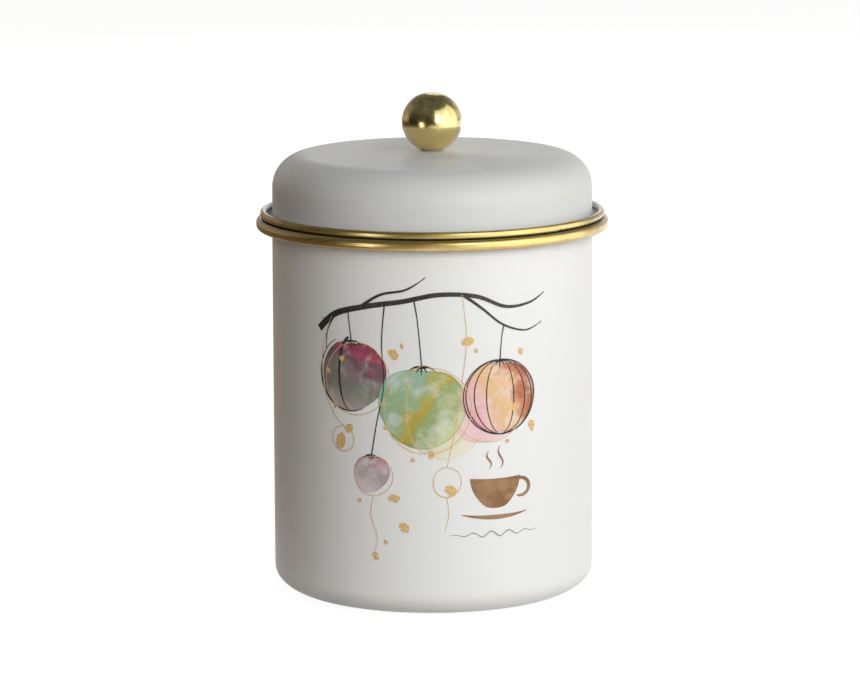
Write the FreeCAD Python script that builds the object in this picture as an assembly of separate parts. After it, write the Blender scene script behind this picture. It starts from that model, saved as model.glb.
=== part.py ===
import FreeCAD, Part
import math
import os

# Tea canister: a drawn metal body, a domed lid that rests on its rim, a gilt rolled edge on each
# of the two, and a ball knob. Millimetres. +Z is up, and the origin is the centre of the base,
# on the plane that the canister stands on.

# Sheet that the body, the lid and their rolled edges are formed from
sheet_thickness = 0.4

# Body: a straight wall, a drawn corner round the base and a flared flange at the mouth
body_radius = 52.5
seat_height = 123.8             # from the table up to the plane where lid and body meet
base_corner_width = 12.7        # the drawn corner reaches this far in under the wall
base_corner_height = 8.4        # and this far up the wall
standing_ring_width = 1.8       # flat ring that the canister stands on
base_recess_depth = 1.5         # panel inside the ring, pressed up clear of the table
mouth_flare_radius = 1.5        # bend from the wall out to the flange

# Gilt edge of the body: the flange rolled outwards and down
body_edge_overhang = 5.2        # from the body's wall out to the widest point of the roll
body_edge_width = 3.0
body_edge_height = 3.75
body_edge_gap = 0.3             # left open where the roll ends under the flange

# Lid: crowned top, round shoulder, straight wall and a flared flange
lid_height = 21.7               # from the seat up to the middle of the crown
lid_wall_inset = 0.13           # the lid's wall stands this much inside the line of the body's
lid_shoulder_radius = 10.8
lid_crown_radius = 950.0
lid_flare_radius = 1.2          # bend from the wall out to the flange, the bottom of the gutter

# Gilt edge of the lid: the flange turned up and rolled inwards, open above the gutter
lid_edge_setback = 1.37         # from the widest point of the body's edge in to the lid's
lid_edge_width = 2.0
lid_edge_height = 2.6
lid_edge_gap = 0.8              # slit between the gutter and the lip of the roll

# Both gilt edges join their flanges this far in from the widest point of the lid's edge, so
# that the groove between the two rolls shows gilt only
edge_joint_depth = 1.3

# Knob: a ball with a small foot that follows the crown
knob_radius = 9.83
knob_foot_radius = 3.0

quarter_turn = 90.0
half_turn = 180.0

lid_wall_radius = body_radius - lid_wall_inset
body_edge_radius = body_radius + body_edge_overhang
lid_edge_radius = body_edge_radius - lid_edge_setback
edge_joint_radius = lid_edge_radius - edge_joint_depth
crown_centre_height = seat_height + lid_height - lid_crown_radius


def point(radius, height):
    """A point of a section, in the half-plane y = 0 beside the axis."""
    return FreeCAD.Vector(radius, 0.0, height)


class Section:
    """A closed outline beside the axis, drawn edge by edge and then turned about +Z."""

    def __init__(self, radius, height):
        self.start = point(radius, height)
        self.here = self.start
        self.edges = []

    def line(self, radius, height):
        end = point(radius, height)
        self.edges.append(Part.LineSegment(self.here, end).toShape())
        self.here = end

    def turn(self, radius, height, degrees):
        """Circular arc about a centre, anticlockwise when degrees is positive."""
        centre = point(radius, height)
        middle = turned(self.here, centre, degrees / 2)
        end = turned(self.here, centre, degrees)
        self.edges.append(Part.Arc(self.here, middle, end).toShape())
        self.here = end

    def quarter_ellipse(self, corner_radius, corner_height, radius, height):
        """Quarter of an ellipse that leaves and arrives along the two sides of a corner."""
        end = point(radius, height)
        curve = Part.BezierCurve()
        curve.setPoles([self.here, point(corner_radius, corner_height), end])
        curve.setWeight(2, math.sqrt(0.5))
        self.edges.append(curve.toShape())
        self.here = end

    def lathe(self):
        self.line(self.start.x, self.start.z)
        face = Part.Face(Part.Wire(self.edges))
        solid = face.revolve(FreeCAD.Vector(0, 0, 0), FreeCAD.Vector(0, 0, 1), 360)
        if solid.Volume < 0:
            solid.reverse()
        return solid


def turned(place, centre, degrees):
    """A point of a section, turned about another point of its plane."""
    angle = math.radians(degrees)
    across = place.x - centre.x
    up = place.z - centre.z
    return point(
        centre.x + across * math.cos(angle) - up * math.sin(angle),
        centre.z + across * math.sin(angle) + up * math.cos(angle),
    )


def canister_body():
    """Closed body up to the seat: recessed base, drawn corner, straight wall, flared flange."""
    corner_start = body_radius - base_corner_width
    ring_inner = corner_start - standing_ring_width
    step = base_recess_depth / 2
    flange_underside = seat_height - sheet_thickness
    flare_start = flange_underside - mouth_flare_radius

    section = Section(0.0, base_recess_depth)
    section.line(ring_inner - base_recess_depth, base_recess_depth)
    section.turn(ring_inner - base_recess_depth, step, -quarter_turn)
    section.turn(ring_inner, step, quarter_turn)
    section.line(corner_start, 0.0)
    section.quarter_ellipse(body_radius, 0.0, body_radius, base_corner_height)
    section.line(body_radius, flare_start)
    section.turn(body_radius + mouth_flare_radius, flare_start, -quarter_turn)
    section.line(edge_joint_radius, flange_underside)
    section.line(edge_joint_radius, seat_height)
    section.line(0.0, seat_height)
    return section.lathe()


def lid():
    """Closed lid above the seat: flange, gutter bend, wall, shoulder and crowned top."""
    flange_top = seat_height + sheet_thickness
    shoulder_centre = lid_wall_radius - lid_shoulder_radius
    shoulder_rise = math.sqrt((lid_crown_radius - lid_shoulder_radius) ** 2 - shoulder_centre ** 2)
    shoulder_height = crown_centre_height + shoulder_rise
    shoulder_turn = math.degrees(math.atan2(shoulder_rise, shoulder_centre))

    section = Section(0.0, seat_height)
    section.line(edge_joint_radius, seat_height)
    section.line(edge_joint_radius, flange_top)
    section.line(lid_wall_radius + lid_flare_radius, flange_top)
    section.turn(lid_wall_radius + lid_flare_radius, flange_top + lid_flare_radius, -quarter_turn)
    section.line(lid_wall_radius, shoulder_height)
    section.turn(shoulder_centre, shoulder_height, shoulder_turn)
    section.turn(0.0, crown_centre_height, quarter_turn - shoulder_turn)
    return section.lathe()


def rolled_edge(edge_radius, width, height, gap, way):
    """Open oval roll of sheet, one piece with a flange's rim. way is 1 for up, -1 for down.

    It runs on from the flange along the seat, goes round the outside, over the far end and back
    along the inside, and stops a gap short of the flange again.
    """
    bend = width / 2
    inner_bend = bend - sheet_thickness
    middle = edge_radius - bend
    near_bend = seat_height + way * bend
    far_bend = seat_height + way * (height - bend)
    lip = seat_height + way * (sheet_thickness + gap)

    section = Section(edge_joint_radius, seat_height)
    section.line(middle, seat_height)
    section.turn(middle, near_bend, way * quarter_turn)
    section.line(edge_radius, far_bend)
    section.turn(middle, far_bend, way * half_turn)
    section.line(middle - bend, lip)
    section.line(middle - inner_bend, lip)
    section.line(middle - inner_bend, far_bend)
    section.turn(middle, far_bend, -way * half_turn)
    section.line(middle + inner_bend, near_bend)
    section.turn(middle, near_bend, -way * quarter_turn)
    section.line(edge_joint_radius, seat_height + way * sheet_thickness)
    return section.lathe()


def knob():
    """Ball whose foot has the crown's own curve, so that it sits on the lid face to face."""
    foot_turn = math.degrees(math.asin(knob_foot_radius / lid_crown_radius))
    foot_height = crown_centre_height + math.sqrt(lid_crown_radius ** 2 - knob_foot_radius ** 2)
    centre_height = foot_height + math.sqrt(knob_radius ** 2 - knob_foot_radius ** 2)
    ball_turn = half_turn - math.degrees(math.asin(knob_foot_radius / knob_radius))

    section = Section(0.0, crown_centre_height + lid_crown_radius)
    section.turn(0.0, crown_centre_height, -foot_turn)
    section.turn(0.0, centre_height, ball_turn)
    return section.lathe()


solids = {
    "canister_body": canister_body(),
    "body_edge": rolled_edge(body_edge_radius, body_edge_width, body_edge_height, body_edge_gap, -1),
    "lid": lid(),
    "lid_edge": rolled_edge(lid_edge_radius, lid_edge_width, lid_edge_height, lid_edge_gap, 1),
    "knob": knob(),
}

os.makedirs("parts", exist_ok=True)
for name, solid in solids.items():
    solid.exportStep("parts/" + name + ".step")
    box = solid.optimalBoundingBox()
    print(name, "valid", solid.isValid(), "solids", len(solid.Solids),
          "volume", round(solid.Volume, 2), "z", round(box.ZMin, 3), round(box.ZMax, 3),
          "radius", round(box.XMax, 3))
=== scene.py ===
# %% [markdown]
# # A tea canister, built around a fixed frame
#
# The canister is a white enamelled tin with a domed lid, two gilt rolled edges and a ball knob.
# Its solids come ready made from the CAD side, so this lesson gives them their finishes, prints
# the picture on the wall, and lights and frames the shot. All lengths are metres, +Z is up, and
# the printed side faces -Y.

# %% Load the frame
import math

import bpy
from mathutils import Matrix, Vector


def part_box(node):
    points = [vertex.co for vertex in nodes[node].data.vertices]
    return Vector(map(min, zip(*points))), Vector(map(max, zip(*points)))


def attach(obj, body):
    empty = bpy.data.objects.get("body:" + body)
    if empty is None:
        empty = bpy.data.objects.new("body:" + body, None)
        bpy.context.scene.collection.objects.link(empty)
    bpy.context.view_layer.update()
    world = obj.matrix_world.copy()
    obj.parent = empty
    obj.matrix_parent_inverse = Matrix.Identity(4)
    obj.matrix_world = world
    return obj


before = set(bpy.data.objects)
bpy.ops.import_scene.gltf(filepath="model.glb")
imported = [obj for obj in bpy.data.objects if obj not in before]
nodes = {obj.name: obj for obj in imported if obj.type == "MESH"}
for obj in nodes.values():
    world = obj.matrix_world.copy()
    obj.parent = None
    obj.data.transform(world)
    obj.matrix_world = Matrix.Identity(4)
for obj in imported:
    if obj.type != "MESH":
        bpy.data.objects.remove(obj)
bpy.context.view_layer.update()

print("CAD nodes:", sorted(nodes))

# %% [markdown]
# ## Sizes from the frame
#
# Everything that is added later has to sit on the real solids. Reading their boxes is safer than
# typing their sizes again: if the CAD changes, the print and the lights move with it. Only how far
# the body's edge stands out and, further down, how wide the lid's edge is are typed, because a box
# doesn't show how far a roll reaches inwards.

# %% Measure the canister
MM = 0.001
EDGE_OVERHANG = 5.2 * MM            # from the wall out to the widest point of the body's edge

edge_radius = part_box("body_edge")[1].x
wall_radius = edge_radius - EDGE_OVERHANG
seat_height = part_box("lid")[0].z
lid_edge_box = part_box("lid_edge")
canister_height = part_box("knob")[1].z
print("wall radius %.2f mm, seat at %.2f mm, height %.2f mm"
      % (wall_radius / MM, seat_height / MM, canister_height / MM))

# %% [markdown]
# ## Short ways to build a node tree
#
# Shader trees and Geometry Nodes trees are made with the same few calls: add a node, set its
# options, fill or link its inputs. One helper does all of it, so each material below reads like a
# recipe. A value goes into a socket as a number, and an output socket becomes a link.

# %% Node helpers
def plug(tree, socket, value):
    """Links another node's output to a socket, or sets a plain value on it."""
    if isinstance(value, bpy.types.NodeSocket):
        tree.links.new(value, socket)
    elif socket.type == "RGBA" and len(value) == 3:
        socket.default_value = (*value, 1.0)
    else:
        socket.default_value = value


def add(tree, kind, inputs=None, **options):
    """Adds a node. inputs maps a socket's name or number to a value or to another node's output."""
    node = tree.nodes.new(kind)
    for name, value in options.items():
        setattr(node, name, value)
    for key, value in (inputs or {}).items():
        plug(tree, node.inputs[key], value)
    return node


def calc(tree, operation, first, second=0.0, third=0.0, clamp=False):
    """One step of arithmetic, as in MULTIPLY_ADD: first times second plus third."""
    inputs = {0: first, 1: second, 2: third}
    return add(tree, "ShaderNodeMath", inputs, operation=operation, use_clamp=clamp).outputs[0]


def blend(tree, amount, first, second, mode="MIX"):
    """Mixes two colours by amount; returns the colour."""
    inputs = {"Factor": amount, 6: first, 7: second}
    return add(tree, "ShaderNodeMix", inputs, data_type="RGBA", blend_type=mode).outputs[2]


def spread(tree, value, low, high, to_low=0.0, to_high=1.0):
    """Stretches the range low..high of a value to another range, smoothly, and holds it there."""
    inputs = {"Value": value, "From Min": low, "From Max": high,
              "To Min": to_low, "To Max": to_high}
    return add(tree, "ShaderNodeMapRange", inputs, interpolation_type="SMOOTHSTEP").outputs[0]


def noise(tree, place, grain, detail=2.0, roughness=0.5, distortion=0.0):
    """Soft noise whose blotches are about grain across, in metres; returns its 0 to 1 value."""
    inputs = {"Vector": place, "Scale": 1.0 / grain, "Detail": detail, "Roughness": roughness,
              "Distortion": distortion}
    return add(tree, "ShaderNodeTexNoise", inputs).outputs["Fac"]


def new_finish(name):
    """An empty material: its tree, its Principled shader and its object coordinates."""
    material = bpy.data.materials.new(name)
    material.use_nodes = True
    tree = material.node_tree
    tree.nodes.clear()
    shader = tree.nodes.new("ShaderNodeBsdfPrincipled")
    output = tree.nodes.new("ShaderNodeOutputMaterial")
    tree.links.new(shader.outputs["BSDF"], output.inputs["Surface"])
    place = tree.nodes.new("ShaderNodeTexCoord").outputs["Object"]
    return material, tree, shader, place


def feed(tree, shader, **inputs):
    """Links outputs, or sets plain values, on the shader's named sockets."""
    for name, value in inputs.items():
        plug(tree, shader.inputs[name.replace("_", " ")], value)


def bump(tree, height, depth):
    """A normal that is bent by a height from 0 to 1, depth metres deep."""
    return add(tree, "ShaderNodeBump", {"Height": height, "Distance": depth}).outputs["Normal"]


# %% [markdown]
# ## White enamel
#
# The body and the lid are sprayed and stoved. Such a coat is almost even: its white drifts very
# slightly, its surface has a faint orange peel about a millimetre across, and it is satin, so a
# lamp shows as a soft glow. The drift goes into the colour, the peel into the bump and a slow
# change into the roughness. One recipe serves both pieces, with its own white for each.

# %% Enamel
BODY_WHITE = (0.800, 0.797, 0.790)
LID_WHITE = (0.648, 0.646, 0.635)
WARM_DRIFT = (0.985, 0.978, 0.968)  # what a warmer patch keeps of the white
DRIFT_GRAIN = 45 * MM
ENAMEL_SHINE = 0.35
ENAMEL_ROUGHNESS = (0.40, 0.48)
SATIN_GRAIN = 12 * MM
PEEL_GRAIN = 1.1 * MM
PEEL_DEPTH = 0.006 * MM
SCUFF_HEIGHT = 0.35 * MM            # the standing ring is rubbed up to here
SCUFF_GRAIN = 1.5 * MM
SCUFF_GREY = (0.42, 0.41, 0.40)


def enamel(name, white):
    """Satin enamel in a slowly drifting white, rubbed grey where the canister stands."""
    material, tree, shader, place = new_finish(name)
    drift = noise(tree, place, DRIFT_GRAIN, detail=3)
    warmer = tuple(part * kept for part, kept in zip(white, WARM_DRIFT))
    colour = blend(tree, drift, warmer, white)
    height = add(tree, "ShaderNodeSeparateXYZ", {0: place}).outputs["Z"]
    patches = noise(tree, place, SCUFF_GRAIN, detail=4)
    rubbed = calc(tree, "MULTIPLY", spread(tree, height, SCUFF_HEIGHT, 0.0),
                  spread(tree, patches, 0.45, 0.62))
    colour = blend(tree, rubbed, colour, SCUFF_GREY)
    satin = noise(tree, place, SATIN_GRAIN, detail=3)
    rough = spread(tree, satin, 0.3, 0.7, *ENAMEL_ROUGHNESS)
    peel = noise(tree, place, PEEL_GRAIN, detail=1.5)
    feed(tree, shader, Base_Color=colour, Roughness=rough, Normal=bump(tree, peel, PEEL_DEPTH),
         Specular_IOR_Level=ENAMEL_SHINE)
    return material


body_enamel = enamel("body_enamel", BODY_WHITE)
lid_enamel = enamel("lid_enamel", LID_WHITE)
print("enamels:", body_enamel.name, "and", lid_enamel.name)

# %% [markdown]
# ## Gilt on the rolled edges
#
# The rolled edges are gilt over bare sheet: a satin brass colour with a fine grain, under a clear
# lacquer that gives the white shine. The groove between the two rolls is painted dark as painted
# shade, and so is the underside of the lower roll. On the lid the gilding stops at the crest of
# the roll with a thin dark line, and the side that looks at the lid's wall is enamelled.
# Each finish could have a mesh of its own, but the roll is one solid. So masks made from the
# height and from the distance to the axis put each finish in its place on it. Fine noise is added
# to both, which makes the borders ragged, as wear does.

# %% Gilt
GILT = (0.73, 0.520, 0.125)
GILT_DULL = (0.49, 0.328, 0.052)
GILT_ROUGHNESS = (0.42, 0.30)       # where the gilt is dull, and where it is bright
GILT_GRAIN = 0.30 * MM
GRAIN_DEPTH = 0.012 * MM
GRAIN_SHARE = 0.6                   # of the wear; the rest is clouds
GILT_CLOUD = 9 * MM
GILT_LACQUER = {"Coat_Weight": 1.0, "Coat_Roughness": 0.22, "Coat_IOR": 2.0}

# Each reach is where a mask is full, and where it has ended.
# Painted shade in the groove between the two rolls; the same colour draws the thin line at the
# lid's crest
GROOVE_SHADE_AND_CREST_LINE = (0.050, 0.032, 0.014)
GROOVE_SHADE_REACH = (0.30 * MM, 1.15 * MM)       # up and down from the seat
GROOVE_SHADE_WIDTH = (0.25 * MM, 0.80 * MM)       # outwards from the lid's edge
GROOVE_MATTE = 0.25                         # added to the roughness
GROOVE_SHADE_METAL_CUT = 0.5                           # taken from the metal's share
# Painted shade along the underside of the lower roll, which faces down, away from the light
UNDERSIDE_SHADE = (0.26, 0.155, 0.030)
UNDERSIDE_SHADE_REACH = (0.2 * MM, 1.1 * MM)      # up from the lowest point
UNDERSIDE_SHADE_SHARE = 0.8
LID_EDGE_WIDTH = 2.0 * MM
LIP_ENAMEL = 0.75 * MM                      # outwards from the lip of the lid's roll
BORDER_REACH = (0.30 * MM, 0.60 * MM)       # outwards from that enamel
BORDER_SHARE = 0.9
lid_edge_radius = lid_edge_box[1].x
lip_radius = lid_edge_radius - LID_EDGE_WIDTH
lower_roll_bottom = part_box("body_edge")[0].z


def gilt(name, enamel_inside=0.0):
    """Grained gilt. Nearer to the axis than enamel_inside the roll is enamelled instead."""
    material, tree, shader, place = new_finish(name)
    grain = noise(tree, place, GILT_GRAIN, detail=3, roughness=0.65)
    cloud = noise(tree, place, GILT_CLOUD, detail=3)
    worn = calc(tree, "ADD", calc(tree, "MULTIPLY", grain, GRAIN_SHARE),
                calc(tree, "MULTIPLY", cloud, 1.0 - GRAIN_SHARE))
    colour = blend(tree, spread(tree, worn, 0.34, 0.60), GILT_DULL, GILT)
    rough = spread(tree, worn, 0.3, 0.7, *GILT_ROUGHNESS)
    axes = add(tree, "ShaderNodeSeparateXYZ", {0: place}).outputs
    flat = add(tree, "ShaderNodeCombineXYZ", {"X": axes["X"], "Y": axes["Y"]}).outputs[0]
    radius = add(tree, "ShaderNodeVectorMath", {0: flat}, operation="LENGTH").outputs["Value"]
    ragged = calc(tree, "MULTIPLY_ADD", grain, 0.12 * MM, radius)
    from_seat = calc(tree, "ABSOLUTE", calc(tree, "SUBTRACT", axes["Z"], seat_height))
    from_seat = calc(tree, "MULTIPLY_ADD", grain, 0.15 * MM, from_seat)
    near_seat = spread(tree, from_seat, GROOVE_SHADE_REACH[1], GROOVE_SHADE_REACH[0])
    near_lid = spread(tree, ragged, lid_edge_radius + GROOVE_SHADE_WIDTH[1],
                      lid_edge_radius + GROOVE_SHADE_WIDTH[0])
    # painted shade in the groove: darker, rougher and less metal
    dark = calc(tree, "MULTIPLY", near_seat, near_lid)
    colour = blend(tree, dark, colour, GROOVE_SHADE_AND_CREST_LINE)
    rough = calc(tree, "MULTIPLY_ADD", dark, GROOVE_MATTE, rough)
    metal = calc(tree, "MULTIPLY_ADD", dark, -GROOVE_SHADE_METAL_CUT, 1.0)
    # painted shade along the underside of the lower roll
    above_bottom = calc(tree, "SUBTRACT", axes["Z"], lower_roll_bottom)
    under = spread(tree, above_bottom, UNDERSIDE_SHADE_REACH[1], UNDERSIDE_SHADE_REACH[0],
                   0.0, UNDERSIDE_SHADE_SHARE)
    colour = blend(tree, under, colour, UNDERSIDE_SHADE)
    if enamel_inside:
        gilded = spread(tree, ragged, enamel_inside - 0.04 * MM, enamel_inside + 0.08 * MM)
        near_enamel = spread(tree, ragged, enamel_inside + BORDER_REACH[1],
                             enamel_inside + BORDER_REACH[0])
        border = calc(tree, "MULTIPLY", gilded, near_enamel)
        colour = blend(tree, calc(tree, "MULTIPLY", border, BORDER_SHARE), colour, GROOVE_SHADE_AND_CREST_LINE)
        metal = calc(tree, "MULTIPLY", metal, gilded)
        colour = blend(tree, gilded, LID_WHITE, colour)
    feed(tree, shader, Base_Color=colour, Roughness=rough, Metallic=metal,
         Normal=bump(tree, grain, GRAIN_DEPTH), **GILT_LACQUER)
    return material


body_gilt = gilt("body_gilt")
lid_gilt = gilt("lid_gilt", enamel_inside=lip_radius + LIP_ENAMEL)
print("lip of the lid's roll at %.2f mm from the axis" % (lip_radius / MM))

# %% [markdown]
# ## Polished knob
#
# The ball is turned brass, polished and lacquered. It shows the room like a mirror, and the only
# flaws are a very faint peel in the lacquer and pits too fine to count. The peel is what breaks
# up the edges of the reflections, so it matters more here than any change of colour. The lacquer
# is a coat over the metal, and its own pale shine is what turns the dark parts greyish.

# %% Knob brass
KNOB_BRASS = (0.86, 0.695, 0.245)
KNOB_BRASS_DULL = (0.79, 0.615, 0.195)
KNOB_ROUGHNESS = (0.15, 0.24)
KNOB_PEEL = 0.60 * MM
KNOB_PEEL_DEPTH = 0.026 * MM
KNOB_CLOUD = 5 * MM
KNOB_LACQUER = {"Coat_Weight": 1.0, "Coat_Roughness": 0.12, "Coat_IOR": 1.9}


def polished_brass(name):
    """Brass that mirrors the room, under a lacquer with a very fine peel."""
    material, tree, shader, place = new_finish(name)
    peel = noise(tree, place, KNOB_PEEL, detail=3, roughness=0.65)
    cloud = noise(tree, place, KNOB_CLOUD, detail=2)
    colour = blend(tree, cloud, KNOB_BRASS_DULL, KNOB_BRASS)
    rough = spread(tree, peel, 0.3, 0.7, *KNOB_ROUGHNESS)
    feed(tree, shader, Base_Color=colour, Roughness=rough, Metallic=1.0,
         Normal=bump(tree, peel, KNOB_PEEL_DEPTH), **KNOB_LACQUER)
    return material


knob_brass = polished_brass("knob_brass")
print("brass:", knob_brass.name)

# %% [markdown]
# ## Finishes onto the solids
#
# A CAD solid keeps its mesh and only takes a material, in the slot that it came with.

# %% Dress the CAD nodes
for node, finish in (("canister_body", body_enamel), ("body_edge", body_gilt), ("lid", lid_enamel),
                     ("lid_edge", lid_gilt), ("knob", knob_brass)):
    mesh = nodes[node].data
    mesh.materials.clear()
    mesh.materials.append(finish)
    print(node, "is dressed in", finish.name)

# %% [markdown]
# ## A flat drawing, bent round the wall
#
# The picture is a transfer print: a film of ink far thinner than paper, laid flat and rolled on.
# It is drawn the same way here. Every field and line is made flat, in millimetres to the right of
# the front (u) and above the table (v). A Geometry Nodes tree then gives it the thickness of the
# film, keeps the flat place as an attribute for the materials, and bends it round the wall. The
# wall's radius is a named input, so the print fits a wider tin as well.

# %% Tree: film on the wall
def new_tree(name, inputs):
    """A Geometry Nodes tree. inputs maps each named input to its kind and first value."""
    tree = bpy.data.node_groups.new(name, "GeometryNodeTree")
    tree.interface.new_socket("Geometry", in_out="INPUT", socket_type="NodeSocketGeometry")
    tree.interface.new_socket("Geometry", in_out="OUTPUT", socket_type="NodeSocketGeometry")
    for label, (kind, value) in inputs.items():
        socket = tree.interface.new_socket(label, in_out="INPUT", socket_type="NodeSocket" + kind)
        if value is not None:
            socket.default_value = value
    given = tree.nodes.new("NodeGroupInput").outputs
    result = tree.nodes.new("NodeGroupOutput").inputs["Geometry"]
    return tree, given, result


def end_tree(tree, given, geometry, result):
    """Ends a tree: the copies in it become real faces, and take the given finish."""
    real = add(tree, "GeometryNodeRealizeInstances", {"Geometry": geometry}).outputs[0]
    done = add(tree, "GeometryNodeSetMaterial", {"Geometry": real, "Material": given["Finish"]})
    tree.links.new(done.outputs[0], result)


FILM_INPUTS = {"Wall Radius": ("Float", 0.05), "Lift": ("Float", 0.0), "Film": ("Float", 2e-5),
               "Finish": ("Material", None)}


def film_tree():
    """Closes a flat sheet into a film and bends it: x runs round the wall, y up, z outwards."""
    tree, given, result = new_tree("film_on_the_wall", FILM_INPUTS)
    flat = given["Geometry"]
    face = add(tree, "GeometryNodeExtrudeMesh",
               {"Mesh": flat, "Offset Scale": given["Film"], "Individual": False}).outputs["Mesh"]
    back = add(tree, "GeometryNodeFlipFaces", {"Mesh": flat}).outputs["Mesh"]
    joined = tree.nodes.new("GeometryNodeJoinGeometry")
    tree.links.new(face, joined.inputs[0])
    tree.links.new(back, joined.inputs[0])
    closed = add(tree, "GeometryNodeMergeByDistance",
                 {"Geometry": joined.outputs[0], "Distance": 1e-7}).outputs[0]
    place = tree.nodes.new("GeometryNodeInputPosition").outputs[0]
    kept = add(tree, "GeometryNodeStoreNamedAttribute",
               {"Geometry": closed, "Name": "drawing", "Value": place},
               data_type="FLOAT_VECTOR", domain="POINT").outputs[0]
    axes = add(tree, "ShaderNodeSeparateXYZ", {0: place}).outputs
    angle = calc(tree, "DIVIDE", axes["X"], given["Wall Radius"])
    radius = calc(tree, "ADD", calc(tree, "ADD", given["Wall Radius"], given["Lift"]), axes["Z"])
    across = calc(tree, "MULTIPLY", radius, calc(tree, "SINE", angle))
    depth = calc(tree, "MULTIPLY", radius, calc(tree, "COSINE", angle))
    bent = add(tree, "ShaderNodeCombineXYZ",
               {"X": across, "Y": calc(tree, "MULTIPLY", depth, -1.0), "Z": axes["Y"]}).outputs[0]
    rolled = add(tree, "GeometryNodeSetPosition", {"Geometry": kept, "Position": bent}).outputs[0]
    end_tree(tree, given, rolled, result)
    return tree


FILM_ON_WALL = film_tree()
print("tree", FILM_ON_WALL.name, "inputs", list(FILM_INPUTS))

# %% [markdown]
# ## Brush lines
#
# A pen or brush line is a path with a width that swells and tapers. The path is a few listed
# points. In the tree they become a smooth curve, the width travels along it as a radius,
# and a flat nib is swept along it. The film tree is used inside this one as a group.

# %% Tree: brush lines on the wall
LINE_STEPS = 10                     # points on the curve between two chosen ones
HAIRLINE = 0.05 * MM                # no line is thinner than this, either side of its middle


def through_film(tree, given, flat):
    """Passes a flat drawing through the film tree, used as a group; returns the bent film."""
    film = add(tree, "GeometryNodeGroup", node_tree=FILM_ON_WALL)
    for label in FILM_INPUTS:
        tree.links.new(given[label], film.inputs[label])
    tree.links.new(flat, film.inputs["Geometry"])
    return film.outputs[0]


def stroke_tree():
    """Sweeps a flat nib along each line of edges, half_width wide to either side of it."""
    tree, given, result = new_tree("brush_lines_on_the_wall", FILM_INPUTS)
    line = add(tree, "GeometryNodeMeshToCurve", {"Mesh": given["Geometry"]}).outputs[0]
    line = add(tree, "GeometryNodeCurveSplineType", {"Curve": line},
               spline_type="CATMULL_ROM").outputs[0]
    line = add(tree, "GeometryNodeSetSplineResolution",
               {"Geometry": line, "Resolution": LINE_STEPS}).outputs[0]
    line = add(tree, "GeometryNodeSetCurveNormal", {"Curve": line}, mode="Z_UP").outputs[0]
    half = add(tree, "GeometryNodeInputNamedAttribute", {"Name": "half_width"},
               data_type="FLOAT").outputs["Attribute"]
    nib = add(tree, "GeometryNodeCurvePrimitiveLine", {"Start": (-1, 0, 0), "End": (1, 0, 0)})
    ribbon = add(tree, "GeometryNodeCurveToMesh",
                 {"Curve": line, "Profile Curve": nib.outputs[0],
                  "Scale": calc(tree, "MAXIMUM", half, HAIRLINE)}).outputs[0]
    end_tree(tree, given, through_film(tree, given, ribbon), result)
    return tree


STROKES_ON_WALL = stroke_tree()
print("tree", STROKES_ON_WALL.name)

# %% [markdown]
# ## Flecks
#
# Crumbs of gold leaf lie about the picture, each a ragged blot. Their places and sizes are listed,
# and the raggedness comes from the tree: a small filled circle on every point, turned at
# random from a fixed seed, its outline pushed about by noise.

# %% Tree: flecks on the wall
FLECK_INPUTS = {**FILM_INPUTS, "Ragged": ("Float", 0.8 * MM), "Grain": ("Float", 1.5 * MM),
                "Seed": ("Int", 7)}
FLECK_CORNERS = 22
FLECK_SQUASH = 0.72                 # a fleck's breadth beside its length


def fleck_tree():
    """A ragged blot on each point, as large as its size attribute."""
    tree, given, result = new_tree("flecks_on_the_wall", FLECK_INPUTS)
    size = add(tree, "GeometryNodeInputNamedAttribute", {"Name": "size"},
               data_type="FLOAT").outputs["Attribute"]
    disc = add(tree, "GeometryNodeMeshCircle", {"Vertices": FLECK_CORNERS, "Radius": 1.0},
               fill_type="NGON").outputs[0]
    turn = add(tree, "FunctionNodeRandomValue", {"Max": (0, 0, math.tau), "Seed": given["Seed"]},
               data_type="FLOAT_VECTOR").outputs[0]
    lengthen = add(tree, "ShaderNodeCombineXYZ",
                   {"X": size, "Y": calc(tree, "MULTIPLY", size, FLECK_SQUASH),
                    "Z": 1.0}).outputs[0]
    discs = add(tree, "GeometryNodeInstanceOnPoints",
                {"Points": given["Geometry"], "Instance": disc, "Rotation": turn,
                 "Scale": lengthen}).outputs[0]
    real = add(tree, "GeometryNodeRealizeInstances", {"Geometry": discs}).outputs[0]
    place = tree.nodes.new("GeometryNodeInputPosition").outputs[0]
    wander = add(tree, "ShaderNodeTexNoise",
                 {"Vector": place, "Scale": calc(tree, "DIVIDE", 1.0, given["Grain"]),
                  "Detail": 3.0})
    centred = add(tree, "ShaderNodeVectorMath", {0: wander.outputs["Color"], 1: (0.5, 0.5, 0.5)},
                  operation="SUBTRACT").outputs[0]
    flat = add(tree, "ShaderNodeVectorMath", {0: centred, 1: (2, 2, 0)},
               operation="MULTIPLY").outputs[0]
    push = add(tree, "ShaderNodeVectorMath", {0: flat}, operation="SCALE")
    tree.links.new(given["Ragged"], push.inputs["Scale"])
    ragged = add(tree, "GeometryNodeSetPosition",
                 {"Geometry": real, "Offset": push.outputs[0]}).outputs[0]
    end_tree(tree, given, through_film(tree, given, ragged), result)
    return tree


FLECKS_ON_WALL = fleck_tree()
print("tree", FLECKS_ON_WALL.name, "seed", FLECK_INPUTS["Seed"][1])

# %% [markdown]
# ## From a flat drawing to a piece
#
# Each layer of the print is one piece. A mesh carries the flat drawing, the modifier's inputs are
# set by their identifiers before anything is evaluated, and the result is then copied to a plain
# mesh, so that no modifier is left. Layers are printed one over another, a film's thickness apart,
# and two drawings of different colour never share a layer where they overlap.

# %% Helpers: lay a layer of print
FILM = 0.015 * MM
FIRST_LIFT = 0.006 * MM             # the lowest layer just clears the enamel
SMOOTH_UP_TO = math.radians(40)     # sharper corners than this stay sharp


def into_scene(name, data):
    """A new object in the scene, at the origin."""
    made = bpy.data.objects.new(name, data)
    bpy.context.scene.collection.objects.link(made)
    return made


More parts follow.
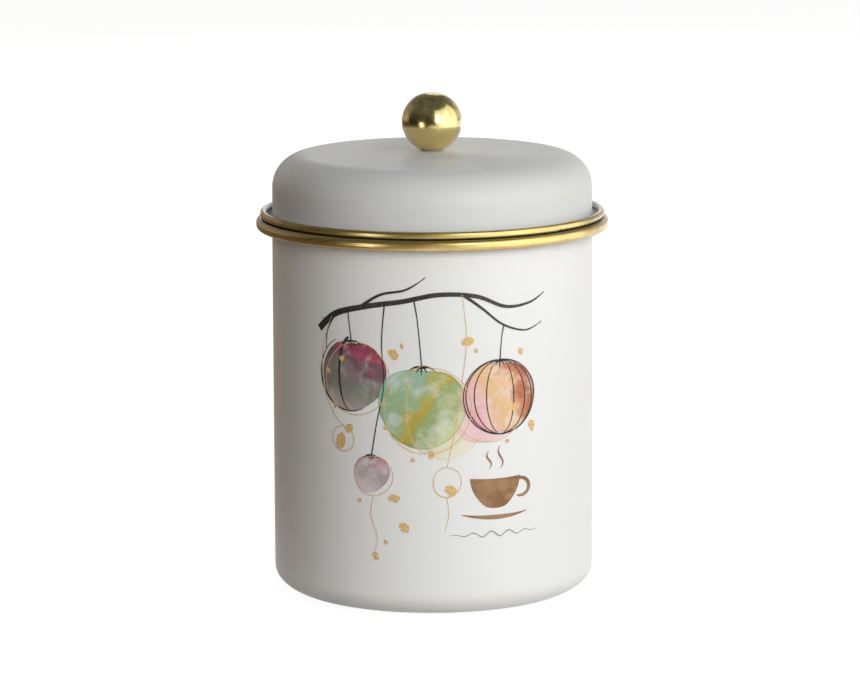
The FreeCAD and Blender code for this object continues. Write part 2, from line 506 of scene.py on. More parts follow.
def lay(name, mesh, tree, finish, layer):
    """Lays a flat drawing on the wall as the given layer of print, and hangs it on the canister."""
    piece = into_scene(name, mesh)
    modifier = piece.modifiers.new("print", "NODES")
    modifier.node_group = tree
    values = {"Wall Radius": wall_radius, "Lift": FIRST_LIFT + layer * FILM, "Film": FILM,
              "Finish": finish}
    for item in tree.interface.items_tree:
        if item.in_out == "INPUT" and item.name in values:
            modifier[item.identifier] = values[item.name]
    bpy.context.view_layer.update()
    graph = bpy.context.evaluated_depsgraph_get()
    settled = bpy.data.meshes.new_from_object(piece.evaluated_get(graph), depsgraph=graph)
    piece.modifiers.clear()
    piece.data = settled
    settled.name = name
    settled.shade_smooth()
    settled.set_sharp_from_angle(angle=SMOOTH_UP_TO)
    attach(piece, "root")
    print(name, "layer", layer, "faces", len(settled.polygons))
    return piece


def flat_mesh(name, points, edges=(), faces=(), **values):
    """A flat mesh from places in millimetres, with one attribute for each list of values."""
    mesh = bpy.data.meshes.new(name)
    mesh.from_pydata([(u * MM, v * MM, 0.0) for u, v in points], list(edges), list(faces))
    for label, numbers in values.items():
        mesh.attributes.new(label, "FLOAT", "POINT").data.foreach_set("value", numbers)
    return mesh


# %% [markdown]
# ## Watercolour
#
# A wash of watercolour isn't even. Pigments run into one another, settle as fine grains, pale out
# where a drop of water bloomed, and gather in a thin dark line where the puddle dried. Each of
# these is a step in the recipe below, worked on the flat place that the tree kept. Where the
# pigment thins out, the enamel's own white shows.

# %% Watercolour finish
PIGMENT_WANDER = 9 * MM
PIGMENT_GRAIN = 0.45 * MM
PIGMENT_SHADE = (0.86, 1.06)        # how far the grains darken and lighten a wash
BLOOM_SIZE = 8 * MM
BLOOM_SHARE = 0.42                  # of the enamel's white, where a drop of water bloomed
DRIED_LINE = (0.93, 0.985)          # shares of the way to the outline: it starts, it is full
DRIED_SHARE = 0.30
WASH_ROUGHNESS = 0.46


def ink(red, green, blue):
    """A colour given from 0 to 255, as the shader's linear light."""
    def linear(value):
        value /= 255
        return value / 12.92 if value <= 0.04045 else ((value + 0.055) / 1.055) ** 2.4
    return tuple(linear(value) for value in (red, green, blue))


def attribute(tree, name, output):
    """Reads one of the mesh's own attributes in a shader."""
    return add(tree, "ShaderNodeAttribute", attribute_name=name).outputs[output]


def watercolour(name, centre, radius, lean, pigments, strength=1.0):
    """A wash. lean is the direction, in degrees, along which the pigments follow one another."""
    material, tree, shader, _ = new_finish(name)
    drawing = attribute(tree, "drawing", "Vector")
    rim = attribute(tree, "rim", "Fac")
    middle = (centre[0] * MM, centre[1] * MM, 0)
    local = add(tree, "ShaderNodeVectorMath", {0: drawing, 1: middle}, operation="SUBTRACT")
    way = (math.cos(math.radians(lean)), math.sin(math.radians(lean)), 0)
    along = add(tree, "ShaderNodeVectorMath", {0: local.outputs[0], 1: way},
                operation="DOT_PRODUCT").outputs["Value"]
    wander = noise(tree, drawing, PIGMENT_WANDER, detail=5, roughness=0.6, distortion=0.4)
    wander = calc(tree, "SUBTRACT", wander, 0.5)
    along = calc(tree, "ADD", calc(tree, "DIVIDE", along, 2 * radius * MM),
                 calc(tree, "MULTIPLY_ADD", wander, 1.0, 0.5))
    ramp = tree.nodes.new("ShaderNodeValToRGB")
    elements = ramp.color_ramp.elements
    while len(elements) < len(pigments):
        elements.new(0.5)
    for element, (position, colour) in zip(elements, pigments):
        element.position = position
        element.color = (*ink(*colour), 1.0)
    tree.links.new(along, ramp.inputs[0])
    grains = noise(tree, drawing, PIGMENT_GRAIN, detail=4, roughness=0.7)
    shade = spread(tree, grains, 0.3, 0.7, *PIGMENT_SHADE)
    shade = add(tree, "ShaderNodeCombineXYZ", {0: shade, 1: shade, 2: shade}).outputs[0]
    colour = blend(tree, 1.0, ramp.outputs[0], shade, "MULTIPLY")
    bloom = noise(tree, drawing, BLOOM_SIZE, detail=4, roughness=0.6, distortion=0.3)
    water = calc(tree, "MULTIPLY", spread(tree, bloom, 0.48, 0.68), BLOOM_SHARE)
    paled = blend(tree, calc(tree, "ADD", water, 1.0 - strength, clamp=True), colour, BODY_WHITE)
    ragged = calc(tree, "ADD", rim, calc(tree, "MULTIPLY", wander, 0.05))
    dried = calc(tree, "MULTIPLY", spread(tree, ragged, *DRIED_LINE), DRIED_SHARE)
    paled = blend(tree, dried, paled, colour, "MULTIPLY")
    feed(tree, shader, Base_Color=paled, Roughness=WASH_ROUGHNESS)
    return material


def printed(name, first, second, grain, roughness=0.45):
    """A flat printing ink that wavers between two tones."""
    material, tree, shader, _ = new_finish(name)
    drawing = attribute(tree, "drawing", "Vector")
    tone = spread(tree, noise(tree, drawing, grain, detail=4, roughness=0.6), 0.35, 0.65)
    feed(tree, shader, Base_Color=blend(tree, tone, ink(*first), ink(*second)),
         Roughness=roughness)
    return material


# %% [markdown]
# ## The picture: round fruits on a bough
#
# The picture is a loose sketch of round fruits that hang from a bough. First come the washes, one
# round blot for each fruit. A blot is a disc whose outline wavers by a few slow waves, with a dip
# at the stalk, and every point knows how near the outline it is, for the dried edge.

# %% Washes
BLOT_SPOKES = 96
BLOT_RINGS = 10
DIP_WIDTH = 0.42                    # radians to either side of the stalk


def blot(name, centre, radius, waves, dip=0.0, squash=1.0):
    """A flat disc. waves are (count, depth, phase) of the outline's swells."""
    points, faces, rim = [centre], [], [0.0]
    for ring in range(1, BLOT_RINGS + 1):
        share = ring / BLOT_RINGS
        for spoke in range(BLOT_SPOKES):
            angle = math.tau * spoke / BLOT_SPOKES
            swell = 1.0 + sum(depth * math.sin(count * angle + phase)
                              for count, depth, phase in waves)
            from_stalk = (angle - math.pi / 2) / DIP_WIDTH
            swell -= dip * math.exp(-from_stalk ** 2)
            reach = radius * share * (1.0 + (swell - 1.0) * share)
            points.append((centre[0] + reach * math.cos(angle),
                           centre[1] + reach * squash * math.sin(angle)))
            rim.append(share)
    for spoke in range(BLOT_SPOKES):
        after = (spoke + 1) % BLOT_SPOKES
        faces.append((0, 1 + spoke, 1 + after))
        for ring in range(1, BLOT_RINGS):
            inner, outer = 1 + (ring - 1) * BLOT_SPOKES, 1 + ring * BLOT_SPOKES
            faces.append((inner + spoke, outer + spoke, outer + after, inner + after))
    return flat_mesh(name, points, faces=faces, rim=rim)


PLUM = {"centre": (-27.0, 79.0), "radius": 11.5}
PEAR = {"centre": (-3.5, 69.5), "radius": 14.0}
PEACH = {"centre": (22.0, 72.5), "radius": 12.5}
SHADOW_FRUIT = {"centre": (5.5, 60.0), "radius": 8.5}
BLUSH = {"centre": (17.0, 66.5), "radius": 10.5}
BERRY = {"centre": (-20.5, 47.5), "radius": 6.2}


def wash(name, fruit, waves, layer, lean, pigments, strength=1.0, dip=0.0, squash=1.0):
    """Prints one fruit's blot, in a watercolour of its own, as the given layer."""
    finish = watercolour(name, fruit["centre"], fruit["radius"], lean, pigments, strength)
    drawing = blot(name, fruit["centre"], fruit["radius"], waves, dip, squash)
    lay(name, drawing, FILM_ON_WALL, finish, layer)


wash("wash_cream", SHADOW_FRUIT, ((2, 0.05, 0.4), (3, 0.04, 2.0)), layer=0, lean=-40,
     strength=0.75, squash=0.92,
     pigments=((0.15, (214, 218, 184)), (0.5, (226, 216, 170)), (0.85, (234, 226, 198))))
wash("wash_blush", BLUSH, ((2, 0.06, 1.0), (5, 0.02, 0.0)), layer=1, lean=200,
     strength=0.7, squash=0.9,
     pigments=((0.2, (240, 205, 200)), (0.6, (232, 172, 178)), (0.9, (238, 190, 190))))
wash("wash_plum", PLUM, ((2, 0.03, 0.5), (3, 0.025, 1.2), (7, 0.008, 0.0)), layer=2, lean=70,
     dip=0.12, squash=1.04,
     pigments=((0.05, (176, 160, 156)), (0.30, (128, 132, 120)), (0.50, (140, 116, 122)),
               (0.68, (112, 82, 94)), (0.84, (176, 74, 100)), (1.0, (118, 44, 68))))
wash("wash_pear", PEAR, ((2, 0.03, 2.0), (3, 0.03, 0.2), (8, 0.006, 1.0)), layer=3, lean=-35,
     dip=0.08, squash=0.98,
     pigments=((0.05, (150, 190, 170)), (0.28, (152, 178, 132)), (0.45, (180, 172, 84)),
               (0.58, (184, 160, 44)), (0.72, (146, 168, 112)), (0.92, (204, 208, 160))))
wash("wash_peach", PEACH, ((2, 0.035, 1.4), (4, 0.015, 0.6)), layer=4, lean=25,
     dip=0.10, squash=0.97,
     pigments=((0.05, (228, 168, 172)), (0.26, (232, 188, 170)), (0.46, (226, 182, 128)),
               (0.62, (232, 196, 160)), (0.80, (196, 126, 88)), (0.97, (168, 94, 62))))
wash("wash_berry", BERRY, ((2, 0.04, 0.0), (3, 0.03, 1.0)), layer=2, lean=60,
     strength=0.85, dip=0.10,
     pigments=((0.1, (206, 190, 190)), (0.5, (160, 138, 146)), (0.9, (186, 110, 128))))

# %% [markdown]
# ## The ink lines
#
# Over the washes comes the drawing in black ink: the bough with its twigs, the threads that the
# fruits hang by, their little crowns, and the ribs of the right-hand fruit. The ribs are the
# meridians of a ball seen from the side, so a loop works them out, each a little off by a fixed
# unevenness, as a hand would draw them.

# %% Ink drawing
def flat_lines(name, lines):
    """Lines as edges. Each is its points and its widths at the start, middle and end."""
    points, edges, halves = [], [], []
    for places, (start, middle, end) in lines:
        first = len(points)
        for number, place in enumerate(places):
            share = number / (len(places) - 1)
            near = abs(2 * share - 1)
            width = middle + ((start if share < 0.5 else end) - middle) * near ** 1.5
            points.append(place)
            halves.append(width / 2 * MM)
        edges += [(n, n + 1) for n in range(first, len(points) - 1)]
    return flat_mesh(name, points, edges=edges, half_width=halves)


def arc(centre, across, up, start, end, steps=14, uneven=0.0):
    """Points of an ellipse between two angles in degrees, its size wavering by uneven."""
    places = []
    for step in range(steps + 1):
        angle = math.radians(start + (end - start) * step / steps)
        swell = 1.0 + uneven * math.sin(2.3 * angle + centre[0])
        places.append((centre[0] + across * swell * math.cos(angle),
                       centre[1] + up * swell * math.sin(angle)))
    return places


def crown(stalk, size):
    """Five short sepals where the thread meets a fruit."""
    lines = []
    for angle, share in ((200, 0.9), (235, 0.6), (268, 0.75), (305, 0.6), (340, 0.95)):
        tip = (stalk[0] + size * share * math.cos(math.radians(angle)),
               stalk[1] + size * share * math.sin(math.radians(angle)) * 0.7)
        bend = ((stalk[0] + tip[0]) / 2, (stalk[1] + tip[1]) / 2 + 0.12 * size)
        lines.append(([stalk, bend, tip], (0.9, 0.6, 0.15)))
    return lines


bough = [(-40.0, 93.0), (-33.0, 98.5), (-22.0, 101.5), (-10.0, 103.5), (2.0, 105.8), (14.0, 105.0),
         (24.0, 101.2), (33.0, 101.8), (39.0, 104.5)]
ink_lines = [
    (bough, (2.3, 1.5, 0.3)),
    ([(-24.0, 101.2), (-17.0, 105.5), (-9.0, 107.2), (-3.5, 110.4)], (1.1, 0.8, 0.25)),
    ([(10.0, 105.4), (16.0, 101.0), (23.0, 95.5), (31.0, 93.0), (36.5, 94.4)], (1.1, 0.7, 0.25)),
    ([(-33.5, 98.2), (-36.5, 93.0), (-37.0, 88.5)], (0.9, 0.6, 0.2)),
    ([(-28.5, 99.8), (-28.0, 96.0), (-27.2, 89.6)], (0.5, 0.35, 0.45)),
    ([(-6.0, 104.0), (-5.0, 98.0), (-4.2, 90.0), (-3.6, 82.2)], (0.5, 0.35, 0.45)),
    ([(23.4, 95.2), (22.6, 91.0), (22.0, 83.6)], (0.5, 0.35, 0.45)),
    ([(-15.6, 102.6), (-16.6, 90.0), (-16.0, 76.0), (-18.4, 64.0), (-20.3, 53.0)],
     (0.5, 0.35, 0.45)),
    ([(-38.6, 96.6), (-35.8, 96.0)], (0.2, 0.5, 0.2)),
    ([(-3.5, 110.4), (-2.4, 111.4)], (0.3, 1.1, 0.3)),
    ([(36.5, 94.4), (37.9, 95.2)], (0.3, 1.1, 0.3)),
    ([(-37.0, 88.5), (-37.2, 86.9)], (0.3, 1.1, 0.3)),
    (arc((-27.6, 79.4), 11.8, 12.0, 118, 292, uneven=0.012), (0.2, 0.55, 0.2)),
    (arc((-27.6, 79.4), 4.4, 11.6, 98, 262, uneven=0.02), (0.9, 0.75, 0.15)),
]
for stalk, size in (((-27.2, 89.8), 4.4), ((-3.6, 82.4), 5.0), ((22.0, 83.8), 4.6),
                    ((-20.4, 53.2), 3.0)):
    ink_lines += crown(stalk, size)

RIBS = 4
PEACH_MIDDLE = (22.2, 72.2)
PEACH_SIZE = (12.6, 12.0)
STOPS_SHORT = 7                     # degrees by which some ribs end below the stalk
ink_lines.append((arc(PEACH_MIDDLE, *PEACH_SIZE, 96, 450, 40, uneven=0.012), (0.3, 0.5, 0.3)))
for rib in range(1, RIBS):
    across = PEACH_SIZE[0] * math.cos(math.pi / 2 * rib / RIBS)
    for side, uneven in ((1, 0.02), (-1, -0.015)):
        top = 88 - STOPS_SHORT * ((rib * 2 + side) % 3)
        bottom = -90 + 4 * rib
        places = arc(PEACH_MIDDLE, side * across, PEACH_SIZE[1], top, bottom, uneven=uneven)
        ink_lines.append((places, (0.2, 0.45, 0.25)))

black_ink = printed("black_ink", (24, 22, 22), (58, 54, 52), 1.2 * MM)
lay("ink_drawing", flat_lines("ink_drawing", ink_lines), STROKES_ON_WALL, black_ink, 5)

# %% [markdown]
# ## Gold
#
# The gold of the print is a yellow ochre ink with a little sparkle: thin rings that miss the
# fruits by a hair, two empty berries, and the flecks.

# %% Gold lines and flecks
gold_lines = [
    (arc((-25.6, 77.8), 11.4, 11.9, 60, 410, 36, uneven=0.02), (0.22, 0.30, 0.22)),
    (arc((-1.8, 68.4), 14.2, 14.0, 100, 448, 40, uneven=0.015), (0.22, 0.30, 0.22)),
    (arc((-2.6, 69.0), 6.2, 13.8, 80, 285, 24, uneven=0.02), (0.20, 0.26, 0.20)),
    (arc((18.6, 69.8), 12.0, 12.4, 150, 330, 24, uneven=0.02), (0.20, 0.28, 0.20)),
    (arc((4.4, 45.0), 4.6, 4.8, 95, 450, 28, uneven=0.03), (0.25, 0.32, 0.25)),
    ([(9.4, 105.6), (10.8, 92.0), (9.4, 78.0), (7.0, 62.0), (4.3, 49.8)], (0.22, 0.26, 0.22)),
    (arc((-30.5, 58.0), 4.0, 4.2, 80, 436, 28, uneven=0.03), (0.25, 0.32, 0.25)),
    ([(-34.8, 97.6), (-38.6, 86.0), (-38.0, 74.0), (-34.2, 66.0), (-30.2, 62.2)],
     (0.22, 0.26, 0.22)),
    (arc((-19.6, 46.6), 6.4, 6.5, 40, 392, 30, uneven=0.02), (0.22, 0.28, 0.22)),
    ([(-19.6, 40.2), (-20.6, 34.0), (-18.4, 27.0), (-19.2, 21.5)], (0.22, 0.28, 0.15)),
    ([(4.2, 40.4), (4.9, 34.5), (3.6, 29.0)], (0.22, 0.26, 0.15)),
]
gold_ink = printed("gold_ink", (202, 158, 94), (232, 198, 138), 0.7 * MM, 0.36)
lay("gold_lines", flat_lines("gold_lines", gold_lines), STROKES_ON_WALL, gold_ink, 6)

flecks = ((-33.6, 68.2, 0.9), (-31.4, 57.2, 2.6), (-28.2, 61.6, 1.7), (-15.2, 62.5, 1.0),
          (-12.6, 86.4, 1.9), (-10.0, 89.2, 0.9), (-12.8, 39.6, 1.8), (-24.6, 38.2, 0.9),
          (-19.0, 20.4, 1.5), (-15.6, 25.4, 0.8), (-9.4, 30.2, 1.9), (-6.6, 52.4, 0.8),
          (-0.6, 54.0, 1.5), (11.2, 90.6, 2.0), (14.0, 87.4, 0.8), (29.6, 86.4, 1.3),
          (33.8, 61.6, 1.7), (24.6, 57.6, 0.9), (5.6, 42.4, 2.2), (-36.4, 79.8, 1.0),
          (-8.4, 66.0, 1.3), (27.2, 68.6, 1.4), (-30.8, 84.0, 1.2))
fleck_points = flat_mesh("gold_flecks", [(u, v) for u, v, size in flecks],
                         size=[size * MM for u, v, size in flecks])
lay("gold_flecks", fleck_points, FLECKS_ON_WALL, gold_ink, 7)

# %% [markdown]
# ## A cup below the picture
#
# To the lower right stands a plain little cup with a wisp of steam, in brown ink, over a thin
# grey pen line. The cup's side is a smooth bulge from foot to rim, worked out row by row. The
# handle and the saucer are brush lines like the rest.

# %% Cup and pen line
CUP_FOOT = (20.5, 36.4)
CUP_HEIGHT = 9.6
CUP_FOOT_HALF = 3.1                 # half the foot's breadth
CUP_BULGE = 5.6                     # what the side gains from foot to rim
CUP_SAG = 0.45                      # the foot and the rim are curved this deep
CUP_ROWS = 14
CUP_COLUMNS = 16


def grid_faces(rows, columns):
    """The faces between points that are listed row by row, columns + 1 in a row."""
    faces = []
    for row in range(rows):
        for column in range(columns):
            first = row * (columns + 1) + column
            above = first + columns + 1
            faces.append((first, first + 1, above + 1, above))
    return faces


def cup_bowl(name):
    """The cup's filled side, foot to rim."""
    points = []
    for row in range(CUP_ROWS + 1):
        share = row / CUP_ROWS
        half = CUP_FOOT_HALF + CUP_BULGE * math.sin(share * math.pi / 2) ** 0.75
        for column in range(CUP_COLUMNS + 1):
            across = 2 * column / CUP_COLUMNS - 1
            sag = CUP_SAG * (1 - across ** 2)
            points.append((CUP_FOOT[0] + half * across, CUP_FOOT[1] + CUP_HEIGHT * share - sag))
    return flat_mesh(name, points, faces=grid_faces(CUP_ROWS, CUP_COLUMNS))


brown_ink = printed("brown_ink", (128, 88, 50), (158, 122, 86), 7 * MM)
grey_ink = printed("grey_ink", (96, 96, 104), (140, 138, 142), 2 * MM)
lay("cup_bowl", cup_bowl("cup_bowl"), FILM_ON_WALL, brown_ink, 2)
cup_lines = [
    (arc((29.4, 42.2), 3.3, 2.9, 118, -112, 18), (0.9, 1.3, 0.7)),
    ([(9.0, 34.2), (14.5, 33.3), (20.5, 33.0), (26.5, 33.3), (32.0, 34.2)], (0.2, 1.5, 0.2)),
]
STEAM_FOOT = 48.8
STEAM_SWAY = 0.8
WAVE_STEPS = 8                      # points on one wave
for middle, height in ((18.2, 6.0), (22.2, 7.6)):
    wisp = [(middle + STEAM_SWAY * math.sin(math.tau * step / WAVE_STEPS),
             STEAM_FOOT + height * step / WAVE_STEPS) for step in range(WAVE_STEPS + 1)]
    cup_lines.append((wisp, (0.15, 0.75, 0.1)))
lay("cup_lines", flat_lines("cup_lines", cup_lines), STROKES_ON_WALL, brown_ink, 3)

PEN_START = (5.0, 27.6)
PEN_LENGTH = 31.0
PEN_WAVES = 5
PEN_SWELL = 0.9
pen = []
for step in range(PEN_WAVES * WAVE_STEPS + 1):
    share = step / (PEN_WAVES * WAVE_STEPS)
    swell = PEN_SWELL * math.sin(math.tau * PEN_WAVES * share) * math.sin(math.pi * share)
    pen.append((PEN_START[0] + PEN_LENGTH * share, PEN_START[1] + swell))
pen_drawing = flat_lines("pen_line", [(pen, (0.12, 0.34, 0.12))])
lay("pen_line", pen_drawing, STROKES_ON_WALL, grey_ink, 3)

# %% [markdown]
# ## Floor
#
# A plain pale floor, far larger than the canister. To the camera it glows almost white by itself,
# so that it fades into the background, and the little that it takes from the lamps keeps the
# canister's shadow. Metal and glass show that white too, where the floor is pale. To every other
# ray it is an ordinary table top, pale on the right and bare wood on the left, which throws its
# own colour up at the wall. A second floor for the reflections would do the same, but Light Path
# does it in one material.

# %% Floor
FLOOR_REACH = 6.0
FLOOR_DROP = 0.02 * MM              # clear of the standing ring, so that the two never flicker
WHITE = (1.0, 1.0, 1.0)
FLOOR_GLOW = 0.93
FLOOR_TAKES = (0.17, 0.17, 0.17)    # what the glowing floor still takes from the lamps
FLOOR_PALE = (0.78, 0.75, 0.70)
FLOOR_WOOD = (0.23, 0.15, 0.09)
FLOOR_GRAIN = 3 * MM
FLOOR_MOTTLE = 0.97
WOOD_ENDS = (-0.18, 0.04)           # across the floor: bare wood up to here, pale from here on


def floor_finish():
    """A glowing white where it is seen, and a table top for the light that it throws back."""
    material, tree, shader, place = new_finish("floor_paper")
    rays = add(tree, "ShaderNodeLightPath").outputs
    grain = noise(tree, place, FLOOR_GRAIN, detail=3)
    across = add(tree, "ShaderNodeSeparateXYZ", {0: place}).outputs["X"]
    paleness = spread(tree, across, *WOOD_ENDS)
    mirrored = calc(tree, "MAXIMUM", rays["Is Glossy Ray"], rays["Is Transmission Ray"])
    mirrored = calc(tree, "MULTIPLY", mirrored, paleness)
    seen = calc(tree, "MAXIMUM", rays["Is Camera Ray"], mirrored)
    pale = blend(tree, grain, tuple(FLOOR_MOTTLE * part for part in FLOOR_PALE), FLOOR_PALE)
    table = blend(tree, paleness, FLOOR_WOOD, pale)
    feed(tree, shader, Base_Color=blend(tree, seen, table, FLOOR_TAKES), Roughness=0.9,
         Specular_IOR_Level=0.0, Emission_Color=WHITE,
         Emission_Strength=calc(tree, "MULTIPLY", seen, FLOOR_GLOW))
    return material


floor_mesh = bpy.data.meshes.new("floor")
corners = [(-FLOOR_REACH, -FLOOR_REACH, 0), (FLOOR_REACH, -FLOOR_REACH, 0),
           (FLOOR_REACH, FLOOR_REACH, 0), (-FLOOR_REACH, FLOOR_REACH, 0)]
floor_mesh.from_pydata(corners, [], [(0, 1, 2, 3)])
floor_mesh.materials.append(floor_finish())
floor = into_scene("floor", floor_mesh)
floor.location.z = -FLOOR_DROP
print("floor", 2 * FLOOR_REACH, "m across")

# %% [markdown]
# ## Studio
#
# The canister stands beside one large window on its right. Soft lamps make the light: the window
# itself, a stronger and smaller one in front of it, one for the face of the wall, and two behind
# that light up the wall's borders, the left one a little warm. A weak warm fill comes from all
# round. Of the lamps, only the one in front shows in the metal. The rest of what the metal shows
# is built in the step after this one, where it can be shaped freely.

# %% World and lamps
WORLD_FILL = 0.18
FILL_COLOUR = (1.0, 0.88, 0.76)

world = bpy.data.worlds.new("studio")
bpy.context.scene.world = world
world.use_nodes = True
sky = world.node_tree
sky.nodes.clear()
rays = add(sky, "ShaderNodeLightPath").outputs
shown = calc(sky, "MAXIMUM", rays["Is Camera Ray"], rays["Is Transmission Ray"])
shown = calc(sky, "MAXIMUM", shown, rays["Is Glossy Ray"])
backdrop = add(sky, "ShaderNodeBackground", {"Color": WHITE, "Strength": 1.0}).outputs[0]
fill = add(sky, "ShaderNodeBackground", {"Color": FILL_COLOUR, "Strength": WORLD_FILL}).outputs[0]
both = add(sky, "ShaderNodeMixShader", {0: shown, 1: fill, 2: backdrop}).outputs[0]
add(sky, "ShaderNodeOutputWorld", {"Surface": both})

SUBJECT = Vector((0, 0, canister_height / 2))
DAYLIGHT = (0.955, 0.985, 1.0)
WARM = (1.0, 0.92, 0.83)


def direction(azimuth, elevation):
    """Unit vector: azimuth is degrees to the right of the front, elevation degrees up."""
    a, e = math.radians(azimuth), math.radians(elevation)
    return Vector((math.sin(a) * math.cos(e), -math.cos(a) * math.cos(e), math.sin(e)))


def soft_lamp(name, azimuth, elevation, radiance, colour, distance=1.6, size=(0.8, 0.8),
              in_reflections=False):
    """Rectangular lamp aimed at the canister. radiance is how bright its face is."""
    lamp = bpy.data.lights.new(name, "AREA")
    lamp.shape = "RECTANGLE"
    lamp.size, lamp.size_y = size
    lamp.color = colour
    lamp.energy = radiance * math.pi * size[0] * size[1]
    holder = into_scene(name, lamp)
    way = direction(azimuth, elevation)
    holder.location = SUBJECT + way * distance
    holder.rotation_euler = way.to_track_quat("Z", "Y").to_euler()
    holder.visible_camera = False
    holder.visible_glossy = in_reflections
    print(name, "radiance", radiance)


soft_lamp("window", azimuth=68, elevation=31, radiance=0.84, colour=DAYLIGHT,
          distance=1.3, size=(1.9, 1.25))
soft_lamp("front_soft", azimuth=31, elevation=20, radiance=4.2, colour=DAYLIGHT,
          in_reflections=True)
soft_lamp("face_soft", azimuth=9, elevation=18, radiance=4.2, colour=DAYLIGHT)
soft_lamp("left_back", azimuth=-149, elevation=15, radiance=6.8, colour=WARM)
soft_lamp("right_back", azimuth=148, elevation=15, radiance=4.4, colour=DAYLIGHT)

# %% [markdown]
# ## What the polished ball sees
#
# A polished ball shows the whole room, so the room is built from curved screens that the camera
# can't see: a dark wall in front, a brown one on the left, a pale one on the right and a dim
# ceiling. Three more are there for reflections alone, and neither shade nor light anything: the
# bright side of the room with the large window, the dark beyond the near edge of the table, and
# one small bright window far away on the left. The bright side thins out towards its borders,
# because a hard border would show on the ball as a line.

# %% Screens for the reflections
SCREEN_COLUMNS = 24
SCREEN_ROWS = 12
WEAVE_SIZE = 0.35                   # metres
WEAVE_SHADE = (0.55, 1.5)           # how far the cloth darkens and lightens
LEVEL_WITHIN = 0.01                 # metres: a screen this low has one colour


def screen(name, azimuths, elevations, radii, colours, glow, only_reflections=False, fade=0.0):
    """A curved sheet about the canister: the pairs run from its left to its right, and from its
    lowest row to its top. It thins out towards its sides and its top over fade degrees."""
    points, cover = [], []
    for row in range(SCREEN_ROWS + 1):
        share = row / SCREEN_ROWS
        elevation = elevations[0] + (elevations[1] - elevations[0]) * share
        radius = radii[0] + (radii[1] - radii[0]) * share
        for column in range(SCREEN_COLUMNS + 1):
            azimuth = azimuths[0] + (azimuths[1] - azimuths[0]) * column / SCREEN_COLUMNS
            points.append(direction(azimuth, elevation) * radius)
            inside = min(azimuth - azimuths[0], azimuths[1] - azimuth, elevations[1] - elevation)
            cover.append(min(1.0, inside / fade) if fade else 1.0)
    mesh = bpy.data.meshes.new(name)
    mesh.from_pydata(points, [], grid_faces(SCREEN_ROWS, SCREEN_COLUMNS))
    low, high = min(p.z for p in points), max(p.z for p in points)
    material, tree, shader, place = new_finish(name + "_cloth")
    height = add(tree, "ShaderNodeSeparateXYZ", {0: place}).outputs["Z"]
    rise = spread(tree, height, low, high) if high - low > LEVEL_WITHIN else 0.0
    tone = blend(tree, rise, *colours)
    weave = spread(tree, noise(tree, place, WEAVE_SIZE, detail=4), 0.35, 0.65, *WEAVE_SHADE)
    weave = add(tree, "ShaderNodeCombineXYZ", {0: weave, 1: weave, 2: weave}).outputs[0]
    tone = blend(tree, 1.0, tone, weave, "MULTIPLY")
    feed(tree, shader, Base_Color=tone, Roughness=1.0, Emission_Color=tone, Emission_Strength=glow)
    if fade:
        mesh.attributes.new("cover", "FLOAT", "POINT").data.foreach_set("value", cover)
        surface = shader.outputs["BSDF"].links[0].to_socket
        clear = add(tree, "ShaderNodeBsdfTransparent").outputs[0]
        thick = spread(tree, attribute(tree, "cover", "Fac"), 0.0, 1.0)
        thinned = add(tree, "ShaderNodeMixShader",
                      {0: thick, 1: clear, 2: shader.outputs["BSDF"]}).outputs[0]
        tree.links.new(thinned, surface)
    mesh.materials.append(material)
    sheet = into_scene(name, mesh)
    sheet.visible_camera = False
    if only_reflections:
        sheet.visible_diffuse = False
        sheet.visible_shadow = False
    print("screen", name, "glow", glow)


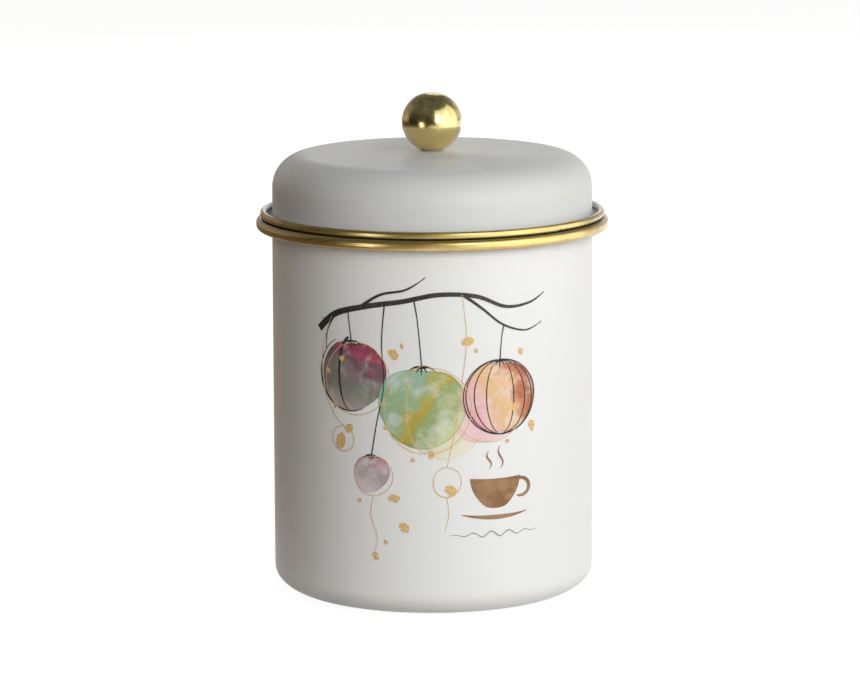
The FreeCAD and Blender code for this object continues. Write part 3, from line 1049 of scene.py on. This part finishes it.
DARK = (0.050, 0.042, 0.034)
DIM = (0.17, 0.19, 0.21)
BROWN_WALL = (0.68, 0.60, 0.50)
PALE_WALL = (0.95, 0.94, 0.91)
PANE = (1.0, 0.97, 0.90)
ROOM_GLOW = 0.05
ROOM_RADII = (2.2, 2.2)
WALL_RISE = (0.5, 50)
screen("dark_room", (-100, 16), WALL_RISE, ROOM_RADII, (DARK, DIM), ROOM_GLOW)
screen("left_wall", (-172, -100), WALL_RISE, ROOM_RADII, (BROWN_WALL, DIM), glow=0.15)
screen("right_wall", (108, 165), WALL_RISE, ROOM_RADII, (PALE_WALL, DIM), glow=0.18)
screen("bright_side", (24, 118), (1, 50), (0.55, 0.95), (PANE, PANE), glow=0.85,
       only_reflections=True, fade=14)
screen("ceiling", (-180, 180), (WALL_RISE[1], 90), ROOM_RADII, (DIM, DIM), ROOM_GLOW)
screen("table_end", (-150, 22), (0.2, 0.05), (0.85, ROOM_RADII[1]), (DARK, DARK), ROOM_GLOW,
       only_reflections=True)
screen("far_window", (-45.5, -33.5), (3.0, 16.5), (0.55, 0.55), (PANE, PANE), glow=5.0,
       only_reflections=True)

# %% [markdown]
# ## Camera
#
# A long lens from a metre and a half away, a little above the canister and looking slightly
# down. From so far away the two gilt rolls draw flat ovals, and the dome of the lid hides its own
# back. The camera is placed by a direction and a distance from the point that it looks at.

# %% Camera
VIEW_DISTANCE = 1.5635
VIEW_DOWN = 9.675                   # degrees that the camera looks down
VIEW_ROLL = 0.229                   # degrees
VIEW_TARGET = Vector((-0.914, 0.0, 79.14)) * MM
LENS = 198.7                        # millimetres, as on a lens
SENSOR_WIDTH = 36.0
NEAREST = 0.05                      # metres

camera_data = bpy.data.cameras.new("camera")
camera_data.lens = LENS
camera_data.sensor_width = SENSOR_WIDTH
camera_data.clip_start = NEAREST
camera = into_scene("camera", camera_data)
camera.location = VIEW_TARGET + direction(0, VIEW_DOWN) * VIEW_DISTANCE
camera.rotation_mode = "XYZ"
camera.rotation_euler = (Matrix.Rotation(math.radians(90 - VIEW_DOWN), 3, "X")
                         @ Matrix.Rotation(math.radians(-VIEW_ROLL), 3, "Z")).to_euler()
bpy.context.scene.camera = camera
bpy.context.scene.view_settings.view_transform = "Standard"
print("camera %.2f m away, lens %.1f mm" % (VIEW_DISTANCE, LENS))
